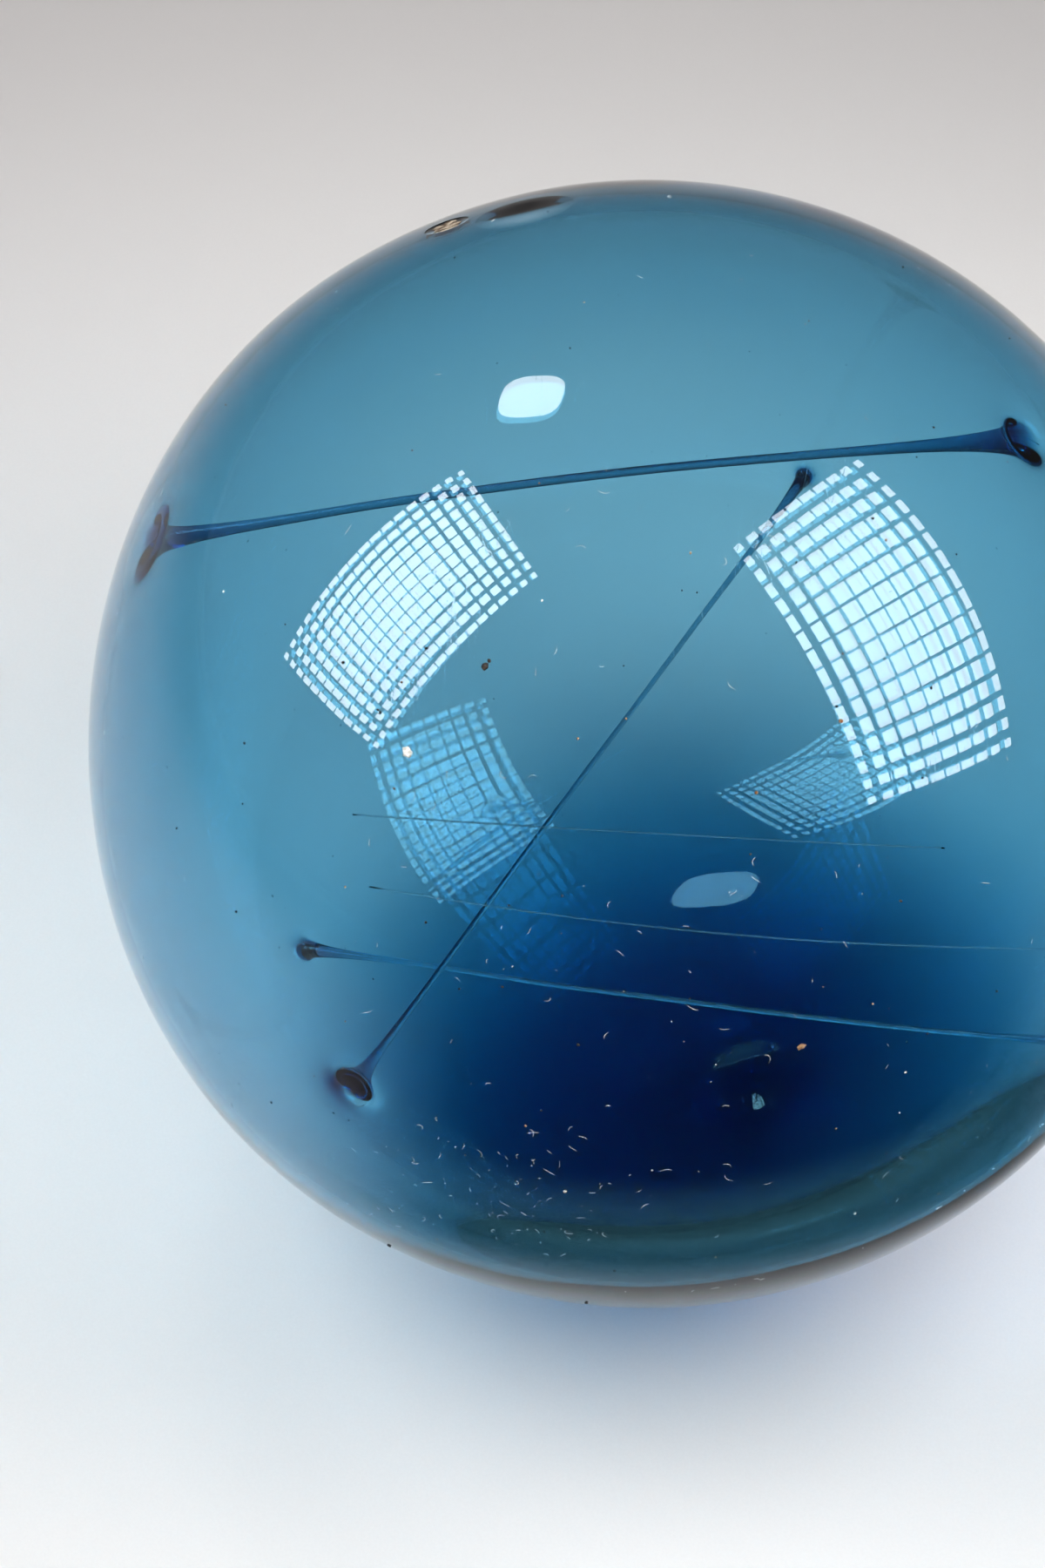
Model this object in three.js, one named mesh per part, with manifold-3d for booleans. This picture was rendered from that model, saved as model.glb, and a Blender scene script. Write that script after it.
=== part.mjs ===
// A blown glass fishing float: one sealed ball of glass. It stands on a small
// worn flat beside its seal, the button of glass that closed the blowpipe's
// hole. The ball is a little out of round, with one flattened side, and it has
// two open bubbles near the top.
// Millimetres, +Z up, origin at the centre of the flat it stands on.

import * as THREE from "three";
import * as BufferGeometryUtils from "three/addons/utils/BufferGeometryUtils.js";
import Module from "manifold-3d";

// Driving dimensions
const BALL_DIAMETER = 150;
const STANDING_FLAT_DIAMETER = 17;

// The seal lies a little way up from the ball's lowest point, to one side.
const SEAL_DIAMETER = 34;
const SEAL_HEIGHT = 0.7;
const SEAL_AZIMUTH = -34;
const SEAL_TILT = 18.7;

// The flattened side, and the fuller ring of glass round it, facing -X.
const FLAT_SIDE_DEPTH = 0.7;
const FLAT_SIDE_SPREAD = THREE.MathUtils.degToRad(24);
const FULL_RING_HEIGHT = 0.3;
const FULL_RING_ANGLE = THREE.MathUtils.degToRad(47);
const FULL_RING_SPREAD = THREE.MathUtils.degToRad(16);

// Each open bubble is a smooth hollow: its way from the ball's centre as an
// azimuth (from +X towards +Y) and a height angle, its width round the ball,
// its length up the ball, its depth, and its turn about its own way.
const OPEN_BUBBLES = [
  { azimuth: 117.7, height: 59, width: 12.8, length: 12.4, depth: 0.4, turn: 0 },
  { azimuth: 127.8, height: 52.4, width: 5.8, length: 6.8, depth: 0.4, turn: 0 },
];
const BUBBLE_DEEPENING = 2.2;

// Fineness of the faceted ball
const ROUND_STEPS = 72;
const RISE_STEPS = 34;
const BUBBLE_ROUND_STEPS = 24;
const BUBBLE_RISE_STEPS = 12;

const ballRadius = BALL_DIAMETER / 2;
const flatRadius = STANDING_FLAT_DIAMETER / 2;
const flatSideWay = new THREE.Vector3(-1, 0, 0);
const sealWay = wayFrom(THREE.MathUtils.degToRad(SEAL_TILT), THREE.MathUtils.degToRad(SEAL_AZIMUTH));

const glass = new THREE.MeshStandardMaterial({
  name: "blue_glass",
  color: 0x3d85a6,
  roughness: 0.06,
  metalness: 0,
});

// A rounded bump that is 1 in the middle and 0 from its edge outwards.
function bump(distance, edge) {
  const t = Math.min(distance / edge, 1);
  return (1 - t * t) ** 2;
}

// How far the outer surface lies from the ball's centre along a unit vector.
function surfaceRadius(way) {
  const fromFlatSide = way.angleTo(flatSideWay);
  const hollow = FLAT_SIDE_DEPTH * Math.exp(-((fromFlatSide / FLAT_SIDE_SPREAD) ** 2));
  const ringOffset = (fromFlatSide - FULL_RING_ANGLE) / FULL_RING_SPREAD;
  const ring = FULL_RING_HEIGHT * Math.exp(-(ringOffset ** 2));
  const seal = SEAL_HEIGHT * bump(ballRadius * way.angleTo(sealWay), SEAL_DIAMETER / 2);
  return ballRadius - hollow + ring + seal;
}

// The unit vector at an angle up from straight down, and an angle round +Z.
function wayFrom(rise, round) {
  const across = Math.sin(rise);
  return new THREE.Vector3(across * Math.cos(round), across * Math.sin(round), -Math.cos(rise));
}

// The outer surface as rings of points from the standing flat to the top.
function ballGeometry() {
  const flatRise = Math.asin(flatRadius / ballRadius);
  const flatDrop = surfaceRadius(wayFrom(flatRise, 0)) * Math.cos(flatRise);
  const points = [0, 0, -flatDrop];
  for (let ring = 0; ring < RISE_STEPS; ring += 1) {
    // The rings lie closer together low down, over the flat's edge and the seal.
    const part = ring / RISE_STEPS;
    const rise = flatRise + (Math.PI - flatRise) * part * (0.72 + 0.28 * part);
    for (let step = 0; step < ROUND_STEPS; step += 1) {
      const way = wayFrom(rise, (2 * Math.PI * step) / ROUND_STEPS);
      const point = way.clone().multiplyScalar(surfaceRadius(way));
      point.z = ring === 0 ? -flatDrop : Math.max(point.z, -flatDrop);
      points.push(point.x, point.y, point.z);
    }
  }
  const top = surfaceRadius(new THREE.Vector3(0, 0, 1));
  points.push(0, 0, top);

  const at = (ring, step) => 1 + ring * ROUND_STEPS + (step % ROUND_STEPS);
  const topPoint = points.length / 3 - 1;
  const faces = [];
  for (let step = 0; step < ROUND_STEPS; step += 1) {
    faces.push(0, at(0, step + 1), at(0, step));
    for (let ring = 0; ring < RISE_STEPS - 1; ring += 1) {
      faces.push(at(ring, step), at(ring, step + 1), at(ring + 1, step + 1));
      faces.push(at(ring, step), at(ring + 1, step + 1), at(ring + 1, step));
    }
    faces.push(at(RISE_STEPS - 1, step), at(RISE_STEPS - 1, step + 1), topPoint);
  }
  const geometry = new THREE.BufferGeometry();
  geometry.setAttribute("position", new THREE.Float32BufferAttribute(points, 3));
  geometry.setIndex(faces);
  geometry.translate(0, 0, flatDrop);
  return { geometry, centreHeight: flatDrop };
}

// A flattened ellipsoid that scoops one open bubble out of the surface.
function bubbleGeometry(bubble, centreHeight) {
  const azimuth = THREE.MathUtils.degToRad(bubble.azimuth);
  const rise = THREE.MathUtils.degToRad(90 + bubble.height);
  const way = wayFrom(rise, azimuth);
  const scoop = new THREE.SphereGeometry(1, BUBBLE_ROUND_STEPS, BUBBLE_RISE_STEPS);
  // The scoop's middle lies above the surface, so its section there is smaller.
  const deep = bubble.depth * BUBBLE_DEEPENING;
  const clear = deep - bubble.depth;
  const spread = 1 / Math.sqrt(1 - (clear / deep) ** 2);
  scoop.scale((bubble.width / 2) * spread, (bubble.length / 2) * spread, deep);
  scoop.rotateZ(THREE.MathUtils.degToRad(bubble.turn));
  const turnOut = new THREE.Matrix4().lookAt(way, new THREE.Vector3(), new THREE.Vector3(0, 0, 1));
  scoop.applyMatrix4(turnOut);
  const out = surfaceRadius(way) + clear;
  scoop.translate(way.x * out, way.y * out, way.z * out + centreHeight);
  return scoop;
}

const wasm = await Module();
wasm.setup();

function toSolid(geometry) {
  const bare = geometry.clone();
  bare.deleteAttribute("normal");
  bare.deleteAttribute("uv");
  const merged = BufferGeometryUtils.mergeVertices(bare, 1e-4);
  const vertProperties = new Float32Array(merged.attributes.position.array);
  const triVerts = new Uint32Array(merged.index.array);
  return new wasm.Manifold(new wasm.Mesh({ numProp: 3, vertProperties, triVerts }));
}

function toGeometry(solid) {
  const mesh = solid.getMesh();
  const geometry = new THREE.BufferGeometry();
  geometry.setAttribute("position", new THREE.BufferAttribute(mesh.vertProperties, 3));
  geometry.setIndex(new THREE.BufferAttribute(mesh.triVerts, 1));
  geometry.computeVertexNormals();
  return geometry;
}

const ball = ballGeometry();
let ballSolid = toSolid(ball.geometry);
for (const bubble of OPEN_BUBBLES) {
  ballSolid = ballSolid.subtract(toSolid(bubbleGeometry(bubble, ball.centreHeight)));
}

const glassBall = new THREE.Mesh(toGeometry(ballSolid), glass);
glassBall.name = "glass_ball";

const float = new THREE.Group();
float.name = "glass_float";
float.add(glassBall);

export default float;
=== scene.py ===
"""A blown glass fishing float of clear blue glass, standing on a flat beside its seal.

The ball is one closed skin of glass: the outside, the hollow inside it, and the
threads that were drawn from wall to wall while the glass was hot. The outside
has a low seal under it and two burst bubbles near its top. Lint and grit lie on
the skin, and dried dirt sits in the smaller burst bubble. The dark cores of the
threads are painted shade, one pale grain on the skin is a painted highlight,
and the paper floor's darkening away from the ball is painted shade.
"""

import logging
import math
from dataclasses import dataclass, field
from enum import Enum

import bpy
import numpy as np
from mathutils import Matrix, Vector
from mathutils.geometry import delaunay_2d_cdt


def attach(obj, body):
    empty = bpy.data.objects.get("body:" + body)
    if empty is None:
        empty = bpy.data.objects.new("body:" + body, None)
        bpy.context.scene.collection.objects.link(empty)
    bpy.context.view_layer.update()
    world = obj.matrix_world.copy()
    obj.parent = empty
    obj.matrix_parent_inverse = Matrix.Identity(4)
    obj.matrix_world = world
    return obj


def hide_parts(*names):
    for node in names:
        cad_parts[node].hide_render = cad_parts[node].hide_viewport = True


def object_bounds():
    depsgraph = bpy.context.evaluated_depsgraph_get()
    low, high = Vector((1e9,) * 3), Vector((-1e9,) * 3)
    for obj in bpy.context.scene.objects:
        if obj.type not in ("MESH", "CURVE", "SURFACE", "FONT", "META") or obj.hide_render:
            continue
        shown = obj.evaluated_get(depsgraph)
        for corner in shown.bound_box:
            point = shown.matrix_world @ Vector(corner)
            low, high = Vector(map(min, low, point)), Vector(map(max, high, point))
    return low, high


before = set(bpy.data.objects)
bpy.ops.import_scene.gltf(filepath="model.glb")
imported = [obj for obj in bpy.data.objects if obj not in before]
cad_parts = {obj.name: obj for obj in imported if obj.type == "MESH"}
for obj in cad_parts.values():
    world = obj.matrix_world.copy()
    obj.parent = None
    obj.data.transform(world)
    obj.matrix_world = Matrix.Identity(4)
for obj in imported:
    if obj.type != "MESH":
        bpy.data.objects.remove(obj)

Colour = tuple[float, float, float, float]
Range = tuple[float, float]

LOG = logging.getLogger("glass_float")
MM = 0.001
BODY = "root"
BALL_NODE = "glass_ball"

CAD_LOW, CAD_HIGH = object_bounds()


def unit(rows: np.ndarray) -> np.ndarray:
    """Scales each row to length one."""
    return rows / np.linalg.norm(rows, axis=-1, keepdims=True)


def smooth_step(low: float, high: float, value: np.ndarray) -> np.ndarray:
    """Rises from 0 at low to 1 at high, as three t squared minus two t cubed."""
    t = np.clip((value - low) / (high - low), 0.0, 1.0)
    return t * t * (3.0 - 2.0 * t)


def way_at(azimuth: float, height: float) -> np.ndarray:
    """Gives the unit vector at an azimuth from +X towards +Y and a height, both in degrees."""
    a, h = math.radians(azimuth), math.radians(height)
    return np.array([math.cos(h) * math.cos(a), math.cos(h) * math.sin(a), math.sin(h)])


def angle_from(ways: np.ndarray, way: np.ndarray) -> np.ndarray:
    """Gives the angle between unit vectors and one way: the arc cosine of their product."""
    return np.arccos(np.clip(ways @ way, -1.0, 1.0))


def low_mound(distance: np.ndarray, edge: float) -> np.ndarray:
    """Gives a round mound, 1 in the middle and 0 past its edge: one minus t squared, squared."""
    t = np.minimum(distance / edge, 1.0)
    return (1.0 - t * t) ** 2


def even_turns(spokes: int) -> np.ndarray:
    """Gives angles evenly round a full turn, from 0."""
    return np.arange(spokes) * 2.0 * math.pi / spokes


def circle(side: np.ndarray, up: np.ndarray, spokes: int) -> np.ndarray:
    """Gives unit vectors evenly round a circle: a cosine along side plus a sine along up."""
    turn = even_turns(spokes)[:, None]
    return np.cos(turn) * side[..., None, :] + np.sin(turn) * up[..., None, :]


# ---------------------------------------------------------------------------
# Mesh making
# ---------------------------------------------------------------------------


class Shading(Enum):
    """How light falls across the faces of a piece."""

    SMOOTH = True
    FLAT = False


@dataclass
class Skin:
    """Points and faces that grow into one mesh, kept as whole arrays."""

    points: list[np.ndarray] = field(default_factory=list)
    quads: list[np.ndarray] = field(default_factory=list)
    triangles: list[np.ndarray] = field(default_factory=list)
    count: int = 0

    def add_points(self, points: np.ndarray) -> int:
        """Adds rows of points.

        Args:
            points: Any array whose last axis is x, y, z.

        Returns:
            The number of the first new point.
        """
        rows = points.reshape(-1, 3)
        first = self.count
        self.points.append(rows)
        self.count += len(rows)
        return first

    def add_tube(self, first: int, rings: int, spokes: int, outward: bool) -> None:
        """Joins rings of points that are already in the skin with rows of quads.

        Args:
            first: The number of the first ring's first point.
            rings: How many rings there are.
            spokes: How many points a ring has.
            outward: True if rings that run against the clock rise towards the eye.
        """
        ring, spoke = np.meshgrid(np.arange(rings - 1), np.arange(spokes), indexing="ij")
        a = first + ring * spokes + spoke
        b = first + ring * spokes + (spoke + 1) % spokes
        quads = np.stack([a, b, b + spokes, a + spokes], axis=-1).reshape(-1, 4)
        self.quads.append(quads if outward else quads[:, ::-1])

    def add_cap(self, middle: int, first: int, spokes: int, outward: bool) -> None:
        """Closes a ring of points with a fan round a middle point.

        Args:
            middle: The number of the point in the middle.
            first: The number of the ring's first point.
            spokes: How many points the ring has.
            outward: True if the ring, run against the clock, faces the eye.
        """
        step = np.arange(spokes)
        after = (step + 1) % spokes
        fan = np.stack([np.full(spokes, middle), first + step, first + after], axis=-1)
        self.triangles.append(fan if outward else fan[:, ::-1])

    def join_rings(self, lower: int, upper: int, spokes: int) -> None:
        """Joins two rings, each given by the number of its first point, with a row of quads.

        Args:
            lower: The number of the first ring's first point.
            upper: The number of the second ring's first point.
            spokes: How many points a ring has.
        """
        step = np.arange(spokes)
        after = (step + 1) % spokes
        quads = [lower + step, lower + after, upper + after, upper + step]
        self.quads.append(np.stack(quads, axis=-1))

    def add_closed(self, rings: np.ndarray, low: np.ndarray, high: np.ndarray,
                   outward: bool = True) -> None:
        """Adds a tube of rings that is closed at each end by a fan.

        Args:
            rings: Points, as rings by spokes by 3.
            low: The point that closes the first ring.
            high: The point that closes the last ring.
            outward: True if the faces face out of the tube.
        """
        count, spokes = rings.shape[:2]
        first = self.add_points(rings)
        self.add_tube(first, count, spokes, outward)
        self.add_cap(self.add_points(low), first, spokes, not outward)
        self.add_cap(self.add_points(high), first + (count - 1) * spokes, spokes, outward)

    def to_object(self, name: str, shading: Shading) -> bpy.types.Object:
        """Makes the mesh object.

        Args:
            name: The piece's name.
            shading: Smooth or flat faces.

        Returns:
            The new object, in the scene, at the origin.
        """
        points = np.concatenate(self.points)
        quads = np.concatenate(self.quads) if self.quads else np.zeros((0, 4), int)
        triangles = np.concatenate(self.triangles) if self.triangles else np.zeros((0, 3), int)
        corners = np.concatenate([quads.ravel(), triangles.ravel()])
        used, corners = np.unique(corners, return_inverse=True)
        points = points[used]
        sizes = np.concatenate([np.full(len(quads), 4), np.full(len(triangles), 3)])
        starts = np.concatenate([[0], np.cumsum(sizes)[:-1]])
        mesh = bpy.data.meshes.new(name)
        mesh.vertices.add(len(points))
        mesh.vertices.foreach_set("co", points.astype(np.float32).ravel())
        mesh.loops.add(len(corners))
        mesh.loops.foreach_set("vertex_index", corners.astype(np.int32))
        mesh.polygons.add(len(sizes))
        mesh.polygons.foreach_set("loop_start", starts.astype(np.int32))
        mesh.polygons.foreach_set("use_smooth", np.full(len(sizes), shading.value))
        mesh.update(calc_edges=True)
        mesh.validate()
        piece = bpy.data.objects.new(name, mesh)
        bpy.context.scene.collection.objects.link(piece)
        return piece


@dataclass(frozen=True)
class Spot:
    """An oval place on a ball, with flat coordinates of its own.

    A point of the ball has the coordinate across and up, each the angle from the
    spot's middle along that tangent, and its reach is 1 on the oval's edge.
    """

    way: np.ndarray
    half_across: float
    half_up: float

    def tangents(self) -> tuple[np.ndarray, np.ndarray]:
        """Gives the unit tangents across, which is level, and up.

        Returns:
            The two unit vectors.
        """
        level = np.cross([0.0, 0.0, 1.0], self.way)
        if np.linalg.norm(level) < 1e-6:
            level = np.array([1.0, 0.0, 0.0])
        across = unit(level)
        return across, np.cross(self.way, across)

    def flat(self, ways: np.ndarray) -> np.ndarray:
        """Gives the flat coordinates of unit vectors, as angles in radians.

        Args:
            ways: Unit vectors, as rows.

        Returns:
            Rows of across and up.
        """
        across, up = self.tangents()
        along = np.clip(ways @ self.way, -1.0, 1.0)
        side = ways - along[..., None] * self.way
        length = np.linalg.norm(side, axis=-1, keepdims=True)
        side = np.where(length > 1e-9, side / np.maximum(length, 1e-9), across)
        angle = np.arccos(along)
        return np.stack([angle * (side @ across), angle * (side @ up)], axis=-1)

    def reach(self, ways: np.ndarray) -> np.ndarray:
        """Gives how far out unit vectors lie: 0 in the middle and 1 on the oval's edge."""
        xy = self.flat(ways)
        return np.hypot(xy[..., 0] / self.half_across, xy[..., 1] / self.half_up)

    def ways_at(self, reach: np.ndarray, spokes: int) -> np.ndarray:
        """Gives rings of unit vectors, one ring for each reach, against the clock.

        Args:
            reach: The reach of each ring.
            spokes: How many unit vectors a ring has.

        Returns:
            An array of rings by spokes by 3.
        """
        across, up = self.tangents()
        turn = even_turns(spokes)
        x = reach[:, None] * self.half_across * np.cos(turn)
        y = reach[:, None] * self.half_up * np.sin(turn)
        angle = np.hypot(x, y)
        safe = np.maximum(angle, 1e-12)
        side = (x / safe)[..., None] * across + (y / safe)[..., None] * up
        return np.cos(angle)[..., None] * self.way + np.sin(angle)[..., None] * side


def cube_ball(cells: int) -> tuple[np.ndarray, np.ndarray]:
    """Lays six square grids round a ball, and welds them along their edges.

    A grid's two parameters are angles of up to 45 degrees either way, and the
    point is the tangent of each on a cube's face, scaled to length one.

    Args:
        cells: How many cells a grid has along its side.

    Returns:
        Unit vectors, and quads that run against the clock seen from outside.
    """
    side = np.tan(np.linspace(-math.pi / 4, math.pi / 4, cells + 1))
    u, v = np.meshgrid(side, side, indexing="ij")
    one = np.ones_like(u)
    row, column = np.meshgrid(np.arange(cells), np.arange(cells), indexing="ij")
    near = row * (cells + 1) + column
    far = near + cells + 1
    square = np.stack([near, far, far + 1, near + 1], axis=-1).reshape(-1, 4)
    faces = (
        np.stack([u, v, one], -1),
        np.stack([v, u, -one], -1),
        np.stack([one, u, v], -1),
        np.stack([-one, v, u], -1),
        np.stack([v, one, u], -1),
        np.stack([u, -one, v], -1),
    )
    ways = unit(np.concatenate([face.reshape(-1, 3) for face in faces]))
    quads = np.concatenate([square + i * (cells + 1) ** 2 for i in range(6)])
    _, keep, weld = np.unique(np.round(ways, 7), axis=0, return_index=True, return_inverse=True)
    return ways[keep], weld.reshape(-1)[quads]


def inside_outline(points: np.ndarray, starts: np.ndarray, ends: np.ndarray) -> np.ndarray:
    """Tells which flat points lie inside an outline, by counting crossings to the right.

    Args:
        points: Flat points, rows of x and y.
        starts: Where each of the outline's edges starts.
        ends: Where each of the outline's edges ends.

    Returns:
        True for each point that an odd number of edges lies to the right of.
    """
    x, y = points[:, :1], points[:, 1:]
    rises = (starts[:, 1] > y) != (ends[:, 1] > y)
    rise = np.where(ends[:, 1] == starts[:, 1], 1.0, ends[:, 1] - starts[:, 1])
    crossing = starts[:, 0] + (y - starts[:, 1]) / rise * (ends[:, 0] - starts[:, 0])
    return np.count_nonzero(rises & (x < crossing), axis=1) % 2 == 1


@dataclass
class HoledBall:
    """A welded ball of quads with oval holes, each ringed by an even row of points."""

    ways: np.ndarray
    quads: np.ndarray
    rim_starts: list[int]
    stitches: np.ndarray

    meeting_reach = 1.5
    group_margin = 1.6
    edge_margin = 0.06

    @classmethod
    def cut(cls, cells: int, spots: list[Spot], rims: list[np.ndarray],
            clearance: float) -> "HoledBall":
        """Cuts the holes, and stitches each hole's even rim to the ragged edge round it.

        The cells under a spot go, which leaves a ragged hole. The rim of points and
        the ragged edge are joined by a flat Delaunay triangulation about the place.

        Args:
            cells: How many cells a side of the cube ball has.
            spots: The holes. Holes that lie close together share a ragged edge.
            rims: The unit vectors of each hole's rim, one way round or the other.
            clearance: How much wider than its spot a ragged hole is, as an angle.

        Returns:
            The ball with its rims and stitches.
        """
        ways, quads = cube_ball(cells)
        covered = np.zeros(len(ways), bool)
        for spot in spots:
            wider = Spot(spot.way, spot.half_across + clearance, spot.half_up + clearance)
            covered |= wider.reach(ways) < 1.0
        quads = quads[~np.any(covered[quads], axis=1)]
        edges = np.stack([quads, np.roll(quads, -1, axis=1)], axis=-1).reshape(-1, 2)
        code = edges[:, 0] * len(ways) + edges[:, 1]
        back = edges[:, 1] * len(ways) + edges[:, 0]
        ragged = edges[~np.isin(back, code)]
        starts = [len(ways) + sum(len(rim) for rim in rims[:i]) for i in range(len(rims))]
        stitches = [
            cls._stitch(ways, ragged, *([rows[i] for i in group] for rows in (spots, rims, starts)))
            for group in cls._groups(spots)
        ]
        return cls(ways, quads, starts, np.concatenate(stitches))

    @staticmethod
    def _groups(spots: list[Spot]) -> list[list[int]]:
        """Sorts spots into groups whose ragged holes may meet.

        Args:
            spots: The spots.

        Returns:
            The numbers of the spots in each group.
        """
        groups: list[list[int]] = []
        for i, spot in enumerate(spots):
            size = max(spot.half_across, spot.half_up)
            for group in groups:
                near = [
                    angle_from(spot.way, spots[j].way)
                    < HoledBall.meeting_reach * (size + max(spots[j].half_across, spots[j].half_up))
                    for j in group
                ]
                if any(near):
                    group.append(i)
                    break
            else:
                groups.append([i])
        return groups

    @staticmethod
    def _stitch(ways: np.ndarray, ragged: np.ndarray, spots: list[Spot], rims: list[np.ndarray],
                starts: list[int]) -> np.ndarray:
        """Joins the rims of a group of spots to the ragged edge round them.

        Args:
            ways: The ball's unit vectors.
            ragged: The ball's open edges, as pairs of point numbers.
            spots: The group's spots.
            rims: Each spot's rim of unit vectors.
            starts: The number of each rim's first point.

        Returns:
            Triangles of point numbers, against the clock seen from outside.
        """
        place = Spot(unit(np.sum([spot.way for spot in spots], axis=0)), 1.0, 1.0)
        size = max(
            angle_from(place.way, spot.way)
            + HoledBall.group_margin * max(spot.half_across, spot.half_up)
            for spot in spots
        )
        near = place.reach(ways[ragged[:, 0]]) < size + HoledBall.edge_margin
        edge = ragged[near]
        numbers = np.unique(edge)
        flat = [place.flat(ways[numbers])]
        pairs = [np.searchsorted(numbers, edge)]
        names = [numbers]
        for rim, start in zip(rims, starts):
            step = np.arange(len(rim))
            offset = sum(len(block) for block in flat)
            flat.append(place.flat(rim))
            pairs.append(np.stack([step, (step + 1) % len(rim)], axis=-1) + offset)
            names.append(start + step)
        points, links, labels = np.concatenate(flat), np.concatenate(pairs), np.concatenate(names)
        found = delaunay_2d_cdt([Vector(p) for p in points.tolist()], links.tolist(), [], 0, 1e-9)
        source = np.array([origin[0] for origin in found[3]])
        triangles = source[np.array(found[2])]
        middles = points[triangles].mean(axis=1)
        kept = inside_outline(middles, points[links[:, 0]], points[links[:, 1]])
        triangles = triangles[kept]
        a, b, c = (points[triangles[:, i]] for i in range(3))
        u, v = b - a, c - a
        clockwise = u[:, 0] * v[:, 1] < u[:, 1] * v[:, 0]
        triangles[clockwise] = triangles[clockwise][:, ::-1]
        return labels[triangles]


# ---------------------------------------------------------------------------
# The ball's shape
# ---------------------------------------------------------------------------


@dataclass(frozen=True)
class Ripple:
    """The slow swell of blown glass: a sum of plane waves across the ball, each a sine."""

    height: float
    finest: float
    coarsest: float
    seed: int
    waves: int = 26

    def __call__(self, ways: np.ndarray) -> np.ndarray:
        """Gives the swell along unit vectors, in metres.

        Args:
            ways: Unit vectors, as rows.

        Returns:
            The swell at each.
        """
        draw = np.random.default_rng(self.seed)
        pitch = draw.uniform(self.coarsest, self.finest, self.waves)
        waves = unit(draw.normal(size=(self.waves, 3))) * pitch[:, None]
        phase = draw.uniform(0.0, 2.0 * math.pi, self.waves)
        share = 1.0 / pitch
        total = np.sin(ways @ waves.T + phase) @ share
        return self.height * total / math.sqrt(float(share @ share) / 2.0)


@dataclass(frozen=True)
class OpenBubble:
    """A bubble that burst at the skin and left a smooth hollow with a low lip round it."""

    azimuth: float
    height: float
    width: float
    length: float
    depth: float
    crispness: float

    lip_share = 0.03
    lip_reach = 1.06
    lip_spread = 0.07

    def spot(self, radius: float, wider: float = 1.0) -> Spot:
        """Gives the oval it covers on a ball of a radius, or one so many times wider."""
        half = wider / (2.0 * radius)
        return Spot(way_at(self.azimuth, self.height), self.width * half, self.length * half)

    def hollow(self, ways: np.ndarray, radius: float) -> np.ndarray:
        """Gives the hollow's depth: a bowl inside the oval, a fire-rounded lip outside it.

        A crisp hollow is round as a ball up to its edge, and a soft one runs out flat:
        the bowl's height is blended from itself and from its fourth power.

        Args:
            ways: Unit vectors, as rows.
            radius: The ball's radius.

        Returns:
            The depth at each.
        """
        reach = self.spot(radius).reach(ways)
        bowl = np.sqrt(np.clip(1.0 - reach**2, 0.0, 1.0))
        lip = self.lip_share * np.exp(-(((reach - self.lip_reach) / self.lip_spread) ** 2))
        return self.depth * (self.crispness * (bowl - lip) + (1.0 - self.crispness) * bowl**4)


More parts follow.
